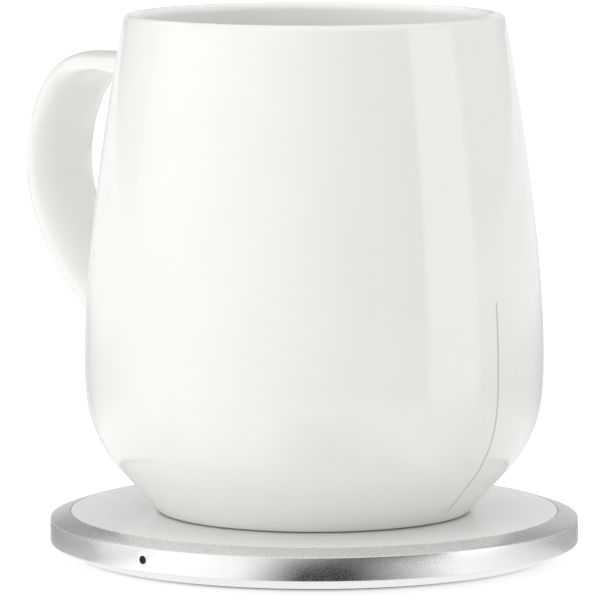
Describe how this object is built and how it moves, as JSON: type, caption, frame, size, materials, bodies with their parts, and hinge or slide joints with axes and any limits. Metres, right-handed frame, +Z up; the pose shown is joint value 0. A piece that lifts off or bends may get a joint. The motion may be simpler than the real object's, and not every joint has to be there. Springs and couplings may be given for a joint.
{
  "type": "heated mug",
  "caption": "Bellied ceramic mug with a strap handle and a heating disc in its base, standing on a flat round warming pad with a bevelled metal rim, a coil inside and a power inlet.",
  "frame": {"origin": "middle of the pad's foot, on the table that the pad stands on", "axes": "+Z up along the axis of pad and mug; the handle points to -X, the status lamp looks to -Y and the power inlet to +Y"},
  "size_m": [0.1176, 0.1, 0.1023],
  "materials": {
    "mug_glaze": "glossy white glaze",
    "white_silicone": "matte silicone",
    "disc_steel": "rolled",
    "cap_plastic": "fine texture",
    "ring_aluminium": "bead-blasted and anodised",
    "plate_gloss": "satin gloss",
    "dark_tape": "foam tape",
    "cover_plastic": "fine texture",
    "foot_rubber": "matte silicone",
    "screw_steel": "plated",
    "heat_silicone": "soft sheet",
    "coil_copper": "enamelled copper wire",
    "ferrite": "sintered",
    "tray_plastic": "moulded",
    "sensor_resin": "dipped resin",
    "board_laminate": "solder mask",
    "chip_resin": "moulded resin",
    "capacitor_ceramic": "fired",
    "inlet_steel": "bright",
    "inlet_plastic": "moulded",
    "lamp_resin": "clear resin",
    "pipe_acrylic": "smoked acrylic"
  },
  "bodies": {
    "pad": {"housing_ring": "ring_aluminium", "top_plate": "plate_gloss", "plate_tape": "dark_tape", "base_cover": "cover_plastic", "foot_pad": "foot_rubber", "cover_screws": "screw_steel", "heat_pad": "heat_silicone", "charging_coil": "coil_copper", "coil_leads": "coil_copper", "ferrite_disc": "ferrite", "coil_tray": "tray_plastic", "temperature_sensor": "sensor_resin", "circuit_board": "board_laminate", "control_chip": "chip_resin", "power_transistors": "chip_resin", "filter_inductor": "ferrite", "tuning_capacitors": "capacitor_ceramic", "inlet_shell": "inlet_steel", "inlet_tongue": "inlet_plastic", "status_lamp": "lamp_resin", "light_pipe": "pipe_acrylic"},
    "mug": {"mug_body": "mug_glaze", "disc_bond": "white_silicone", "heating_disc": "disc_steel", "base_cap": "cap_plastic", "cap_seal": "white_silicone"}
  },
  "joints": [
    {"name": "mug_lift", "type": "slide", "parent": "pad", "child": "mug", "axis": [0, 0, 1], "range_m": [0, 0.12]}
  ]
}
